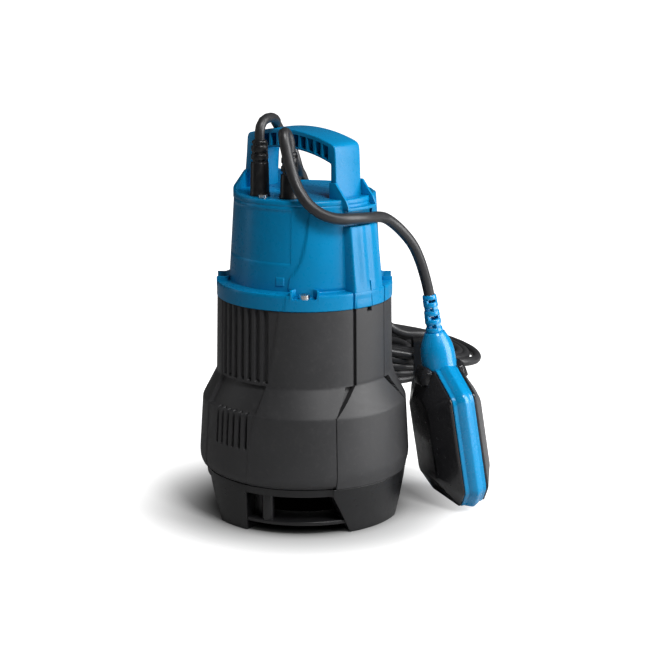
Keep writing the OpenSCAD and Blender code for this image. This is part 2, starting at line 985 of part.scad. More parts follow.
module float_strain_relief() {
    color([0.02, 0.55, 0.9])
        in_float()
            rotate_extrude()
                polygon([[0, relief_z - 0.02], [6.4, relief_z - 0.02], [6.4, relief_z + 3.5], [4.9, relief_z + 4],
                    [4.9, relief_z + 6.6], [6.2, relief_z + 7], [6.1, relief_z + 10], [4.8, relief_z + 10.4],
                    [4.8, relief_z + 13], [5.9, relief_z + 13.4], [5.8, relief_z + 16.4], [4.7, relief_z + 16.8],
                    [4.7, relief_z + 19.4], [5.6, relief_z + 19.8], [5.4, relief_z + 22.8], [4.6, relief_z + 23.4],
                    [4.4, relief_z + 26], [0, relief_z + 26]]);
}

module float_cord_arm() {
    color([0.2, 0.2, 0.21])
        swept(arm_route, float_cord_d);
}

ball_r = 8;
ball_z = 24;
track_r = 8.6;
switch_z = 57;

module switch_ball() {
    color([0.8, 0.81, 0.83])
        in_float()
            translate([0, 0, ball_z])
                sphere(r = ball_r);
}

module ball_track() {
    color([0.85, 0.85, 0.82])
        in_float()
            difference() {
                union() {
                    tube(track_r + 1.6, track_r, 13, 53);
                    translate([0, 0, 11.5])
                        cylinder(h = 3.5, r = track_r + 1.6);
                    for (s = [-1, 1])
                        translate([-1, s * 23.5 - 13.9, 20])
                            cube([2, 27.8, 6]);
                }
                translate([0, 0, 15])
                    cylinder(h = 60, r = track_r);
            }
}

module micro_switch() {
    color([0.12, 0.12, 0.13])
        in_float()
            difference() {
                union() {
                    translate([-6, -14, switch_z])
                        cube([12, 28, 16]);
                    translate([-1, -37.4, switch_z + 5])
                        cube([2, 74.8, 6]);
                }
                translate([0, 0, switch_z - 1])
                    cylinder(h = 7, r = 2.1);
            }
}

module switch_plunger() {
    color([0.85, 0.2, 0.15])
        in_float()
            translate([0, 0, switch_z - 8])
                cylinder(h = 12, r = 2.05);
}

suction_base();
base_screws();
suction_plate();
pump_housing();
volute();
discharge_elbow();
elbow_seal();
oil_chamber();
seal_seat();
lip_seal();
lower_end_shield();
motor_can();
upper_end_shield();
stator_core();
stator_windings();
lower_bearing_ring();
upper_bearing_ring();
bearing_balls();
housing_o_ring();
top_cover();
carry_handle();
cover_screws();
deck_screws();
mains_gland();
float_gland();
capacitor();
capacitor_strap();
terminal_block();
thermal_cutout();
internal_leads();
float_cord_fixed();
mains_cord_lead();
mains_cord_hank();
mains_cord_tail();
hank_tie();
mains_plug();
plug_pins();
shaft();
shaft_bearing_rings();
rotor_core();
impeller();
impeller_nut();
seal_face();
seal_spring();
float_cord_arm();
float_strain_relief();
float_band();
float_left_shell();
float_right_shell();
micro_switch();
ball_track();
switch_ball();
switch_plunger();
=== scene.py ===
"""A submersible sump pump with its float switch and stored mains cord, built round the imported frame."""
import json
import math

import bmesh
import bpy
from mathutils import Matrix, Vector


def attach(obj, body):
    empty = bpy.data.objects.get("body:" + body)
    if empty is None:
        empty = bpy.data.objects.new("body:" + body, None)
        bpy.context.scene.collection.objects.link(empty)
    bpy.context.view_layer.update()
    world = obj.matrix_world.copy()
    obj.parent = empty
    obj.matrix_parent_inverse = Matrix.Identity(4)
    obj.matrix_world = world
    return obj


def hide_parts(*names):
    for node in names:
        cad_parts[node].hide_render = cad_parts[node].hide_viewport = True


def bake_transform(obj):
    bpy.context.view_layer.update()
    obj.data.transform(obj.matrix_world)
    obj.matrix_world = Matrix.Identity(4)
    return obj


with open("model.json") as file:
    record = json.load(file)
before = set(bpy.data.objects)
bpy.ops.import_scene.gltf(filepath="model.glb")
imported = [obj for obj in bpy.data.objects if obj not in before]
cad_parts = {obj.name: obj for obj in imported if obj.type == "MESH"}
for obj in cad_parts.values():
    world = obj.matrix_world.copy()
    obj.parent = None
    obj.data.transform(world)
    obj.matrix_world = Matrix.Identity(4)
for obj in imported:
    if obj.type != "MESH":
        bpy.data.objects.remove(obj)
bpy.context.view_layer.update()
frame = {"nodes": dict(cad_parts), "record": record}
MM = 0.001
scene = bpy.context.scene

# ---------------------------------------------------------------- camera

camera_data = bpy.data.cameras.new("camera")
camera_data.sensor_width = 36.0
camera_data.lens = 99.75
camera_data.shift_x = 0.028
camera_data.clip_end = 100.0
camera = bpy.data.objects.new("camera", camera_data)
camera.location = (0.6505, -1.1267, 0.4422)
camera.rotation_euler = (math.radians(90.0 - 13.288), 0.0, math.radians(30.0))
scene.collection.objects.link(camera)
scene.camera = camera

# ---------------------------------------------------------------- small geometry kit, in millimetres


def cam_to_row(p):
    """The hank is laid out in a frame turned 30 degrees, with the hose tail's axis at x = 0, y = 130."""
    c, s = math.cos(math.radians(30)), math.sin(math.radians(30))
    return Vector((c * p[0] - s * p[1], s * p[0] + c * p[1], p[2]))


def smooth(t):
    t = min(max(t, 0.0), 1.0)
    return t * t * (3 - 2 * t)


def window(x, low, high, ramp):
    """1 between low and high, easing to 0 over a ramp on the inside of each end."""
    return smooth((x - low) / ramp) * smooth((high - x) / ramp)


def table(x, pairs):
    """Linear look-up in (x, y) pairs sorted by x."""
    if x <= pairs[0][0]:
        return pairs[0][1]
    for (x0, y0), (x1, y1) in zip(pairs, pairs[1:]):
        if x <= x1:
            return y0 + (y1 - y0) * (x - x0) / (x1 - x0)
    return pairs[-1][1]


def spline(points, step):
    """Points about one step apart on a smooth curve through the given points."""
    p = [Vector(q) for q in points]
    p = [2 * p[0] - p[1]] + p + [2 * p[-1] - p[-2]]
    out = []
    for a, b, c, d in zip(p, p[1:], p[2:], p[3:]):
        t1 = max((b - a).length, 1e-6) ** 0.5
        t2 = max((c - b).length, 1e-6) ** 0.5
        t3 = max((d - c).length, 1e-6) ** 0.5
        m1 = (b - a) / t1 - (c - a) / (t1 + t2) + (c - b) / t2
        m2 = (c - b) / t2 - (d - b) / (t2 + t3) + (d - c) / t3
        m1, m2 = m1 * t2, m2 * t2
        n = max(1, round((c - b).length / step))
        for i in range(n):
            t = i / n
            out.append(
                (2 * t**3 - 3 * t**2 + 1) * b
                + (t**3 - 2 * t**2 + t) * m1
                + (3 * t**2 - 2 * t**3) * c
                + (t**3 - t**2) * m2
            )
    return out + [p[-2]]


def rounded(points, radius, steps=4):
    """A closed outline with its corners rounded. A point may carry its own radius as a third number."""
    out = []
    n = len(points)
    for i in range(n):
        p = Vector(points[i][:2])
        r = points[i][2] if len(points[i]) > 2 else radius
        a = Vector(points[i - 1][:2]) - p
        b = Vector(points[(i + 1) % n][:2]) - p
        la, lb = a.length, b.length
        if r <= 0 or la < 1e-9 or lb < 1e-9:
            out.append(tuple(p))
            continue
        a, b = a / la, b / lb
        half = math.acos(max(-1, min(1, a.dot(b)))) / 2
        if half > math.radians(88):
            out.append(tuple(p))
            continue
        cut = min(r / math.tan(half), 0.48 * la, 0.48 * lb)
        start, end = p + a * cut, p + b * cut
        for k in range(steps + 1):
            t = k / steps
            q = start * (1 - t) ** 2 + p * 2 * t * (1 - t) + end * t**2
            out.append(tuple(q))
    return out


def rings(loops, closed=True, caps=True):
    """A skin over rings of the same number of points. closed joins the last ring to the first."""
    n = len(loops[0])
    verts = [tuple(p) for loop in loops for p in loop]
    faces = []
    for i in range(len(loops) if closed else len(loops) - 1):
        a, b = i * n, (i + 1) % len(loops) * n
        for k in range(n):
            j = (k + 1) % n
            faces.append((a + k, a + j, b + j, b + k))
    if not closed and caps:
        faces.append(tuple(range(n - 1, -1, -1)))
        faces.append(tuple(range((len(loops) - 1) * n, len(loops) * n)))
    return verts, faces


def lathe(profile, steps=96, closed=True):
    """The (radius, height) profile turned about Z."""
    loops = []
    for r, z in profile:
        loops.append([
            (r * math.cos(2 * math.pi * k / steps), r * math.sin(2 * math.pi * k / steps), z)
            for k in range(steps)
        ])
    return rings(loops, closed, caps=False)


def prism(outline, low, high):
    """An outline in X and Y between two heights."""
    return rings([[(x, y, low) for x, y in outline], [(x, y, high) for x, y in outline]], closed=False)


def tube(points, radii, sides=20):
    """A round bar along points, with one radius or one for each point."""
    p = [Vector(q) for q in points]
    loops = []
    side = None
    for i, q in enumerate(p):
        ahead = (p[min(i + 1, len(p) - 1)] - p[max(i - 1, 0)]).normalized()
        if side is None:
            side = ahead.orthogonal().normalized()
        side = (side - ahead * side.dot(ahead)).normalized()
        up = ahead.cross(side)
        r = radii if isinstance(radii, (int, float)) else radii[i]
        loops.append([
            q + side * (r * math.cos(2 * math.pi * k / sides)) + up * (r * math.sin(2 * math.pi * k / sides))
            for k in range(sides)
        ])
    return rings(loops, closed=False)


def moved(shell, matrix):
    verts, faces = shell
    return [tuple(matrix @ Vector(v)) for v in verts], faces


def turned(shell, degrees):
    return moved(shell, Matrix.Rotation(math.radians(degrees), 4, "Z"))


def shifted(shell, x, y, z):
    return moved(shell, Matrix.Translation((x, y, z)))


# Stands a prism drawn in X and Z up, so that its height runs along -Y
UPRIGHT = Matrix(((1, 0, 0, 0), (0, 0, -1, 0), (0, 1, 0, 0), (0, 0, 0, 1)))


def piece(name, shells, body, slot, bevel=0.0, sharp=40.0, segments=3, angle=32.0, replaces=()):
    """One object from several closed shells, bevelled, shaded and riding on its body."""
    mesh = bpy.data.meshes.new(name)
    verts, faces = [], []
    for v, f in shells:
        base = len(verts)
        verts += [(x * MM, y * MM, z * MM) for x, y, z in v]
        faces += [tuple(i + base for i in face) for face in f]
    mesh.from_pydata(verts, [], faces)
    bm = bmesh.new()
    bm.from_mesh(mesh)
    bmesh.ops.dissolve_degenerate(bm, dist=1e-7, edges=bm.edges)
    bmesh.ops.recalc_face_normals(bm, faces=bm.faces)
    bm.to_mesh(mesh)
    bm.free()
    obj = bpy.data.objects.new(name, mesh)
    scene.collection.objects.link(obj)
    if bevel:
        cut = obj.modifiers.new("bevel", "BEVEL")
        cut.width = bevel * MM
        cut.segments = segments
        cut.limit_method = "ANGLE"
        cut.angle_limit = math.radians(angle)
        cut.use_clamp_overlap = True
        bpy.context.view_layer.update()
        done = bpy.data.meshes.new_from_object(obj.evaluated_get(bpy.context.evaluated_depsgraph_get()))
        obj.modifiers.clear()
        obj.data = done
    obj.data.shade_smooth()
    obj.data.set_sharp_from_angle(angle=math.radians(sharp))
    obj.data.materials.clear()
    obj.data.materials.append(materials[slot])
    if replaces:
        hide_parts(*replaces)
    if body:
        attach(obj, body)
    return obj


# ---------------------------------------------------------------- materials


def plastic(name, colour, rough, grain=0.02, grain_scale=2600.0, vary=0.12, dust=0.0, coat=0.0, specular=0.5):
    """Moulded plastic or rubber: spark texture, faint cloudy colour, uneven gloss, a little dust."""
    m = bpy.data.materials.new(name)
    m.use_nodes = True
    nodes, links = m.node_tree.nodes, m.node_tree.links
    shader = nodes["Principled BSDF"]
    shader.inputs["Specular IOR Level"].default_value = specular
    shader.inputs["Coat Weight"].default_value = coat
    shader.inputs["Coat Roughness"].default_value = 0.12
    where = nodes.new("ShaderNodeTexCoord")
    cloud = nodes.new("ShaderNodeTexNoise")
    cloud.inputs["Scale"].default_value = 26.0
    cloud.inputs["Detail"].default_value = 6.0
    fine = nodes.new("ShaderNodeTexNoise")
    fine.inputs["Scale"].default_value = grain_scale
    fine.inputs["Detail"].default_value = 3.0
    speck = nodes.new("ShaderNodeTexNoise")
    speck.inputs["Scale"].default_value = 310.0
    speck.inputs["Detail"].default_value = 5.0
    for n in (cloud, fine, speck):
        links.new(where.outputs["Object"], n.inputs["Vector"])
    tone = nodes.new("ShaderNodeValToRGB")
    tone.color_ramp.elements[0].position = 0.3
    tone.color_ramp.elements[1].position = 0.7
    tone.color_ramp.elements[0].color = (*[c * (1 - vary) for c in colour], 1)
    tone.color_ramp.elements[1].color = (*[min(1, c * (1 + vary)) for c in colour], 1)
    links.new(cloud.outputs["Fac"], tone.inputs["Fac"])
    mix = nodes.new("ShaderNodeMix")
    mix.data_type = "RGBA"
    mix.inputs[7].default_value = (0.42, 0.4, 0.37, 1)
    spread = nodes.new("ShaderNodeMapRange")
    spread.inputs["From Min"].default_value = 0.52
    spread.inputs["From Max"].default_value = 0.8
    spread.inputs["To Min"].default_value = 0.0
    spread.inputs["To Max"].default_value = dust
    links.new(speck.outputs["Fac"], spread.inputs["Value"])
    links.new(spread.outputs["Result"], mix.inputs[0])
    links.new(tone.outputs["Color"], mix.inputs[6])
    links.new(mix.outputs[2], shader.inputs["Base Color"])
    gloss = nodes.new("ShaderNodeMapRange")
    gloss.inputs["From Min"].default_value = 0.3
    gloss.inputs["From Max"].default_value = 0.7
    gloss.inputs["To Min"].default_value = rough - 0.05
    gloss.inputs["To Max"].default_value = rough + 0.06
    links.new(speck.outputs["Fac"], gloss.inputs["Value"])
    links.new(gloss.outputs["Result"], shader.inputs["Roughness"])
    bump = nodes.new("ShaderNodeBump")
    bump.inputs["Strength"].default_value = 0.5
    bump.inputs["Distance"].default_value = grain * MM
    links.new(fine.outputs["Fac"], bump.inputs["Height"])
    links.new(bump.outputs["Normal"], shader.inputs["Normal"])
    return m


def metal(name, colour, rough, brush=(1.0, 1.0, 12.0), depth=0.004):
    """Metal with fine directional scratches and patchy gloss."""
    m = bpy.data.materials.new(name)
    m.use_nodes = True
    nodes, links = m.node_tree.nodes, m.node_tree.links
    shader = nodes["Principled BSDF"]
    shader.inputs["Metallic"].default_value = 1.0
    where = nodes.new("ShaderNodeTexCoord")
    stretch = nodes.new("ShaderNodeMapping")
    stretch.inputs["Scale"].default_value = brush
    links.new(where.outputs["Object"], stretch.inputs["Vector"])
    lines = nodes.new("ShaderNodeTexNoise")
    lines.inputs["Scale"].default_value = 420.0
    lines.inputs["Detail"].default_value = 4.0
    links.new(stretch.outputs["Vector"], lines.inputs["Vector"])
    tone = nodes.new("ShaderNodeValToRGB")
    tone.color_ramp.elements[0].color = (*[c * 0.84 for c in colour], 1)
    tone.color_ramp.elements[1].color = (*[min(1, c * 1.12) for c in colour], 1)
    links.new(lines.outputs["Fac"], tone.inputs["Fac"])
    links.new(tone.outputs["Color"], shader.inputs["Base Color"])
    gloss = nodes.new("ShaderNodeMapRange")
    gloss.inputs["To Min"].default_value = rough - 0.07
    gloss.inputs["To Max"].default_value = rough + 0.1
    links.new(lines.outputs["Fac"], gloss.inputs["Value"])
    links.new(gloss.outputs["Result"], shader.inputs["Roughness"])
    bump = nodes.new("ShaderNodeBump")
    bump.inputs["Strength"].default_value = 0.4
    bump.inputs["Distance"].default_value = depth * MM
    links.new(lines.outputs["Fac"], bump.inputs["Height"])
    links.new(bump.outputs["Normal"], shader.inputs["Normal"])
    return m


materials = {
    "black_plastic": plastic("black_plastic", (0.010, 0.010, 0.011), 0.32, 0.009, 2100.0, 0.10, 0.006),
    "grey_plastic": plastic("grey_plastic", (0.035, 0.035, 0.037), 0.5, 0.03, 2000.0, 0.12, 0.03),
    "blue_plastic": plastic("blue_plastic", (0.0002, 0.235, 0.50), 0.30, 0.005, 2600.0, 0.05, 0.0, 0.0, 0.25),
    "float_blue": plastic("float_blue", (0.0003, 0.29, 0.62), 0.24, 0.006, 2600.0, 0.04, 0.0, 0.25),
    "float_black": plastic("float_black", (0.014, 0.014, 0.016), 0.22, 0.006, 2300.0, 0.12, 0.02, 0.3),
    "white_plastic": plastic("white_plastic", (0.72, 0.71, 0.66), 0.45),
    "red_plastic": plastic("red_plastic", (0.5, 0.03, 0.02), 0.4),
    "strap_plastic": plastic("strap_plastic", (0.010, 0.010, 0.011), 0.35, 0.01, 2600.0, 0.1, 0.02),
    "impeller_plastic": plastic("impeller_plastic", (0.06, 0.065, 0.07), 0.5),
    "boot_rubber": plastic("boot_rubber", (0.010, 0.010, 0.011), 0.36, 0.012, 2400.0, 0.12, 0.03),
    "cord_rubber": plastic("cord_rubber", (0.030, 0.030, 0.032), 0.36, 0.012, 1500.0, 0.14, 0.02),
    "plug_rubber": plastic("plug_rubber", (0.016, 0.016, 0.017), 0.5, 0.03, 1900.0, 0.12, 0.04),
    "seal_rubber": plastic("seal_rubber", (0.010, 0.010, 0.010), 0.5),
    "lead_sheath": plastic("lead_sheath", (0.16, 0.07, 0.03), 0.45),
    "seal_ceramic": plastic("seal_ceramic", (0.8, 0.77, 0.7), 0.3),
    "seal_carbon": plastic("seal_carbon", (0.02, 0.02, 0.022), 0.35),
    "screw_steel": metal("screw_steel", (0.72, 0.72, 0.72), 0.26),
    "shaft_steel": metal("shaft_steel", (0.55, 0.55, 0.57), 0.24),
    "can_steel": metal("can_steel", (0.5, 0.51, 0.53), 0.34),
    "bearing_steel": metal("bearing_steel", (0.62, 0.62, 0.64), 0.12),
    "lamination_steel": metal("lamination_steel", (0.25, 0.26, 0.28), 0.42, (1.0, 1.0, 60.0)),
    "motor_aluminium": metal("motor_aluminium", (0.55, 0.56, 0.58), 0.44, (2.0, 2.0, 2.0), 0.02),
    "copper_wire": metal("copper_wire", (0.55, 0.2, 0.08), 0.3, (1.0, 1.0, 20.0), 0.05),
    "pin_brass": metal("pin_brass", (0.66, 0.63, 0.56), 0.22),
}
for subpart in frame["record"]["subparts"]:
    data = frame["nodes"][subpart["node"]].data
    data.materials.clear()
    data.materials.append(materials[subpart["material_slot"]])

# ---------------------------------------------------------------- cords

MAINS_D = 7.2
FLOAT_D = 8.0
mains_route = [
    (-17, -35, 268), (-17, -35, 275), (-17, -35, 280), (-17, -33.6, 284.4), (-17, -30, 287.8),
    (-17, -24.5, 289.3), (-17.6, -18, 289.2), (-20, -9, 287.2), (-24, 0, 284.2), (-28.8, 7.6, 282.8),
    (-32.6, 13.6, 281.7), (-35.4, 18.4, 280.9), (-36.8, 22, 279.5), (-36.6, 25.6, 275.4), (-32.2, 27, 269.4),
    (-27.2, 27.4, 263), (-24.3, 28.4, 255), (-23.8, 31.2, 248), (-25.6, 37, 243), (-27.8, 43, 240),
    (-30.0, 49, 237.0), (-31.4, 56, 230), (-29, 63.4, 218), (-22, 70.1, 206), (-16.5, 77.5, 193),
    (-11.8, 84.4, 180), (-7.7, 91.4, 166), (-3.2, 97.5, 152), (0.8, 102.6, 138), (4.7, 107.8, 125),
    (8.9, 112.5, 114.5), (15.1, 117.8, 107), (23.5, 123.3, 103.1),
]
# The hank: layers of turns round the hose tail, each a long loop. The ends reach further in the top layer.
LANES = [22.6, 29.8, 37.0, 44.2]
LAYER_APEX = [100, 103, 107, 112, 145]
HANK_LOW = 66.8
LEFT_APEX = -69.0
HANK_Y = 130.0


def droop(layer, x):
    """How far a layer has sunk at x, past the ends of the shorter layers under it."""
    start = [50, 48, 46, 44, 30][layer]
    reach = LAYER_APEX[layer] if layer < 5 else 60
    depth = [2.0, 5.0, 8.0, 12.0, 20.0][layer]
    return depth * max(0.0, (x - start) / (reach - start)) ** 1.25


def loop_points(turn, layer, lane, next_layer, next_lane, from_x=None):
    """One turn: along the near run, round the right end, back along the far run and round the left end."""
    r, z = LANES[lane], HANK_LOW + MAINS_D * layer
    r2, z2 = LANES[next_lane], HANK_LOW + MAINS_D * next_layer
    apex = 60.0 if layer > 4 else LAYER_APEX[layer]
    wob = math.sin(turn * 2.4) * 1.1
    right = apex - 47.8 + (0 if layer > 4 else wob)
    left = LEFT_APEX + 47.8
    out = []

    def put(x, y, zz):
        out.append((x, y, zz - (droop(layer, x) if layer < 5 else 0.0)))

    n = max(2, round((right - left) / 14))
    for i in range(n):
        x = left + (right - left) * i / n
        if from_x is None or x > from_x:
            put(x, HANK_Y - r + 0.35 * math.sin(x * 0.11 + turn), z)
    for i in range(8):
        a = -math.pi / 2 + math.pi * i / 8
        put(right + r * math.cos(a), HANK_Y + r * math.sin(a), z)
    for i in range(n):
        x = right + (left - right) * i / n
        put(x, HANK_Y + r + 0.35 * math.sin(x * 0.13 + turn), z)
    for i in range(8):
        t = i / 8
        a = math.pi / 2 + math.pi * t
        rr = r + (r2 - r) * smooth(t)
        put(left + rr * math.cos(a), HANK_Y + rr * math.sin(a), z + (z2 - z) * smooth(t))
    return out


def hank_points():
    order = []
    for layer in (4, 3, 2, 1, 0):
        lanes = [0, 1, 2, 3] if layer % 2 == 0 else [3, 2, 1, 0]
        order += [(layer, lane) for lane in lanes]
    points = [(90, 97, 102.6), (100, 101.5, 100.0)]
    for i, (layer, lane) in enumerate(order):
        last = i == len(order) - 1
        following = (0, 3) if last else order[i + 1]
        turn = loop_points(i, layer, lane, *following, from_x=101 if i == 0 else None)
        if last:
            turn = turn[: -8 - 4]
        points += turn
    # A short climb up the outside of the far run, then eight shorter turns on top
    points += [(8, 181.8, 72), (-4, 182.2, 84), (-16, 181.2, 95.5), (-30, 177, 102.4)]
    left = LEFT_APEX + 47.8
    for i in range(2, 8):
        a = math.pi / 2 + math.pi * i / 8
        points.append((left + 44.2 * math.cos(a), HANK_Y + 44.2 * math.sin(a), 102.8))
    short = [(5, 3), (5, 2), (5, 1), (5, 0), (6, 0), (6, 1), (6, 2), (6, 3)]
    for i, (layer, lane) in enumerate(short):
        last = i == len(short) - 1
        turn = loop_points(30 + i, layer, lane, *((6, 3) if last else short[i + 1]))
        points += turn[:-8] if last else turn
    points += [(-34, 172, 110.2), (-48, 163.8, 111.2), (-58.5, 152, 113.4), (-62, 138, 116.6),
        (-64, 122, 120.2),
               (-62, 107, 125), (-58, 97, 129.4), (-48, 92.6, 131.4), (-38, 92, 131.6), (-32, 92, 131.6)]
    return [cam_to_row(p) for p in points]


def cord_curve(name, points, diameter, body, slot):
    curve = bpy.data.curves.new(name, "CURVE")
    curve.dimensions = "3D"
    curve.bevel_depth = diameter / 2 * MM
    curve.bevel_resolution = 5
    curve.use_fill_caps = True
    line = curve.splines.new("POLY")
    line.points.add(len(points) - 1)
    for dot, p in zip(line.points, points):
        dot.co = (*(Vector(p) * MM), 1)
    line.use_smooth = True
    obj = bpy.data.objects.new(name, curve)
    scene.collection.objects.link(obj)
    curve.materials.append(materials[slot])
    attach(obj, body)
    return obj


mains_line = spline(mains_route + [tuple(p) for p in hank_points()], 4.5)
mains_cord = cord_curve("mains_cord", mains_line, MAINS_D, "pump", "cord_rubber")
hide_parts("mains_cord_lead", "mains_cord_hank", "mains_cord_tail")

float_route = [
    (8, -35, 262), (8, -35, 268), (8, -35, 273), (7.5, -36, 278), (7, -38.5, 281.5), (7.5, -42, 282),
    (9, -44.5, 278.5), (11, -45.5, 272), (14.4, -46.7, 262), (19, -47.8, 251), (24.9, -48.9, 241.6),
    (31.8, -47.9, 233.2), (39.6, -43.6, 226.8), (46.5, -37.4, 223.5), (51.5, -30, 222.5), (55, -21, 221.8),
    (57.1, -11, 220.9), (57.9, -1, 220.0), (58.2, 8, 218.9), (58.9, 16, 216.8), (61.6, 24.4, 211.6),
    (66.2, 31.9, 203.6), (70.3, 38.8, 194.0), (73.1, 44.8, 182.1), (75.0, 50.2, 168.6), (76.2, 54.0, 157.0),
    (76.7, 55.4, 151.3),
]
float_line = spline(float_route, 2.2)
float_cord = piece("float_cord", [tube(float_line, FLOAT_D / 2, 28)], None, "cord_rubber")
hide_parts("float_cord_fixed", "float_cord_arm")
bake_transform(float_cord)
print("cord lengths", sum((b - a).length for a, b in zip(mains_line, mains_line[1:])) / 1000,
      sum((b - a).length for a, b in zip(float_line, float_line[1:])) / 1000)

# ---------------------------------------------------------------- turned skins


# The handle, the column, the front panel and the wide feet stand on one line, turned from X by this
AXIS = -12.0


def polar(turn, r, z):
    """A point from its turn past that line, its radius and its height."""
    a = math.radians(turn + AXIS)
    return r * math.cos(a), r * math.sin(a), z


def spread(*spans):
    """Column turns from (from, to, step) spans."""
    out = []
    for low, high, step in spans:
        n = max(1, round((high - low) / step))
        out += [low + (high - low) * i / n for i in range(n)]
    return out


def skin(outer, inner, columns, place):
    """A closed shell round the motor axis: outer and inner are (radius, height) rows from the bottom up."""
    loops = []
    for u in columns:
        loops.append([place(u, r, z) for r, z in outer] + [polar(u, r, z) for r, z in reversed(inner)])
    return rings(loops, closed=True)


def solid(profile, steps=64):
    """A solid turned about Z from (radius, height) rows."""
    return rings(
        [[polar(360 * k / steps, r, z) for k in range(steps)] for r, z in profile], closed=False
    )


def section(turn_low, turn_high, rows, inner_r, steps=16):
    """A curved block: rows are (height, left turn, right turn, radius), inner_r its back."""
    loops = []
    for z, left, right, r in rows:
        a = left if turn_low is None else turn_low
        b = right if turn_high is None else turn_high
        back = inner_r(z) if callable(inner_r) else inner_r
        front = [polar(a + (b - a) * i / steps, r, z) for i in range(steps + 1)]
        rear = [polar(b + (a - b) * i / steps, back, z) for i in range(steps + 1)]
        loops.append(front + rear)
    return rings(loops, closed=False)


def carve(obj, shells):
    """Cuts closed shells out of an object."""
    mesh = bpy.data.meshes.new("cutter")
    verts, faces = [], []
    for v, f in shells:
        base = len(verts)
        verts += [(x * MM, y * MM, z * MM) for x, y, z in v]
        faces += [tuple(i + base for i in face) for face in f]
    mesh.from_pydata(verts, [], faces)
    bm = bmesh.new()
    bm.from_mesh(mesh)
    bmesh.ops.recalc_face_normals(bm, faces=bm.faces)
    bm.to_mesh(mesh)
    bm.free()
    knife = bpy.data.objects.new("cutter", mesh)
    scene.collection.objects.link(knife)
    cut = obj.modifiers.new("cut", "BOOLEAN")
    cut.operation = "DIFFERENCE"
    cut.solver = "EXACT"
    cut.object = knife
    bpy.context.view_layer.update()
    done = bpy.data.meshes.new_from_object(obj.evaluated_get(bpy.context.evaluated_depsgraph_get()))
    obj.modifiers.clear()
    obj.data = done
    obj.data.set_sharp_from_angle(angle=math.radians(40))
    bpy.data.objects.remove(knife)


# ---------------------------------------------------------------- housing

SWEEP = [
    (28, 80.0), (63.5, 78.7), (80.5, 76.3), (100.4, 73.1), (117, 70.2), (136.7, 66.8), (158, 64.1),
]


def housing_turn(u, z):
    """Columns follow the front panel's edges, which spread over the shoulder."""
    a = abs(u)
    p = table(z, [(80.5, 30.7), (101, 14.5)])
    if a < 14.5:
        a = a * p / 14.5
    elif a < 58:
        a = p + (a - 14.5) * (58 - p) / 43.5
    return math.copysign(a, u)


def housing_radius(phi, z):
    a = abs(phi)
    if z < 40:
        side = table(z, [(28, 74.2), (29, 75.4), (31, 77.2), (33, 78.1), (35, 78.7), (37.5, 78.95),
            (40, 79.0)])
        panel = table(z, [(28, 77.4), (36, 78.9), (40, 79.0)])
        return panel + (side - panel) * smooth((a - 30.55) / 0.3)
    rows = [(40, 79.0), (80.5, 76.45), (101, 65.8), (157.6, 64.8)]
    soft = 0.9 + 6.0 * smooth((phi - 16) / 14) * smooth((z - 90) / 6)
    return sum(table(z + soft * k, rows) for k in (-1, -0.6, -0.2, 0.2, 0.6, 1)) / 6


def housing_point(u, r, z):
    phi = housing_turn(u, z)
    a, b = abs(phi), abs(u)
    r = housing_radius(phi, z)
    if b < 14.5:
        r += 0.8 * smooth((z - 96) / 8)
    if z >= 101:
        r -= 2.8 * window(b, 13.45, 15.6, 0.3)
    elif z >= 80.5:
        width = 0.45 + 6.1 * (z - 80.5) / 20.5
        r -= (1.2 + 3.3 * smooth((z - 81) / 7)) * window(b, 14.3, 14.75 + width, 0.35)
    else:
        r -= 0.9 * max(0.0, 1 - abs(b - 14.5) / 0.2)
    # The sides are sunk a little behind a sweeping edge
    side = smooth((a - table(z, SWEEP)) / 0.7) * smooth((116.8 - a) / 0.8)
    r -= 0.7 * side
    if z > 102:
        for k in range(7):
            c = 73.6 + 6.3 * k
            r -= 2.4 * window(a, c - 2.0, c + 2.0, 0.7) * smooth((z - 103.2) / 1.4)
    r -= 2.3 * side * smooth((z - 81.6) / 0.7) * smooth((101.6 - z) / 0.9)
    for k in range(6):
        c = 104.3 - 4.5 * k
        r -= 3.0 * window(a, c - 0.95, c + 0.95, 0.3) * smooth((z - 55) / 1.0) * smooth((82.4 - z) / 0.8)
    r -= 3.0 * window(phi, -4.6, -0.4, 0.15) * smooth((z - 154.4) / 0.2)
    r -= 0.5 * smooth((z - 157.1) / 0.5)
    r -= 0.35 * smooth((28.5 - z) / 0.5)
    return polar(phi, r, z)


housing_rows = [
    28, 28.3, 28.6, 29, 30, 31, 32, 33, 35, 37.5, 40, 48, 54.6, 55, 55.3, 55.6, 56, 57, 63, 70, 76, 78.5,
    79.4, 79.9, 80.4, 80.6, 81, 81.4, 81.8, 82.2, 82.6, 83, 84, 86, 88.5, 91, 94, 96, 98, 99.5, 100.2, 100.7,
    100.98, 101.02, 101.4, 101.8, 102.3, 102.8, 103.3, 103.7, 104.1, 104.6, 105.4, 106.5, 108, 111, 115, 120,
    126, 132, 138, 144, 149, 153, 154.3, 154.5, 154.7, 156.6, 157.1, 157.3, 157.6,
]
half = spread(
    (0, 13.2, 1.2), (13.2, 14.2, 0.1), (14.2, 14.8, 0.075), (14.8, 16, 0.1), (16, 22.5, 0.25),
    (22.5, 58, 1.5), (58, 118, 0.3), (118, 180, 2.5),
)
notch = [-4.75, -4.6, -4.52, -4.45, -0.55, -0.48, -0.4, -0.25]
housing_columns = sorted([-u for u in half if u > 0] + [-180.0] + half + notch)
housing_inner = [(70.5, 28), (73, 33), (73.5, 40), (72.4, 79), (61.3, 101), (60.4, 157.6)]
seat = lathe([(14.6, 70), (17, 70), (17, 81.2), (14.6, 81.2)], 64)
lay_over = Matrix.Rotation(math.radians(120), 4, "Z") @ Matrix.Translation((0, 0, 46)) @ Matrix.Rotation(
    math.radians(90), 4, "Y")
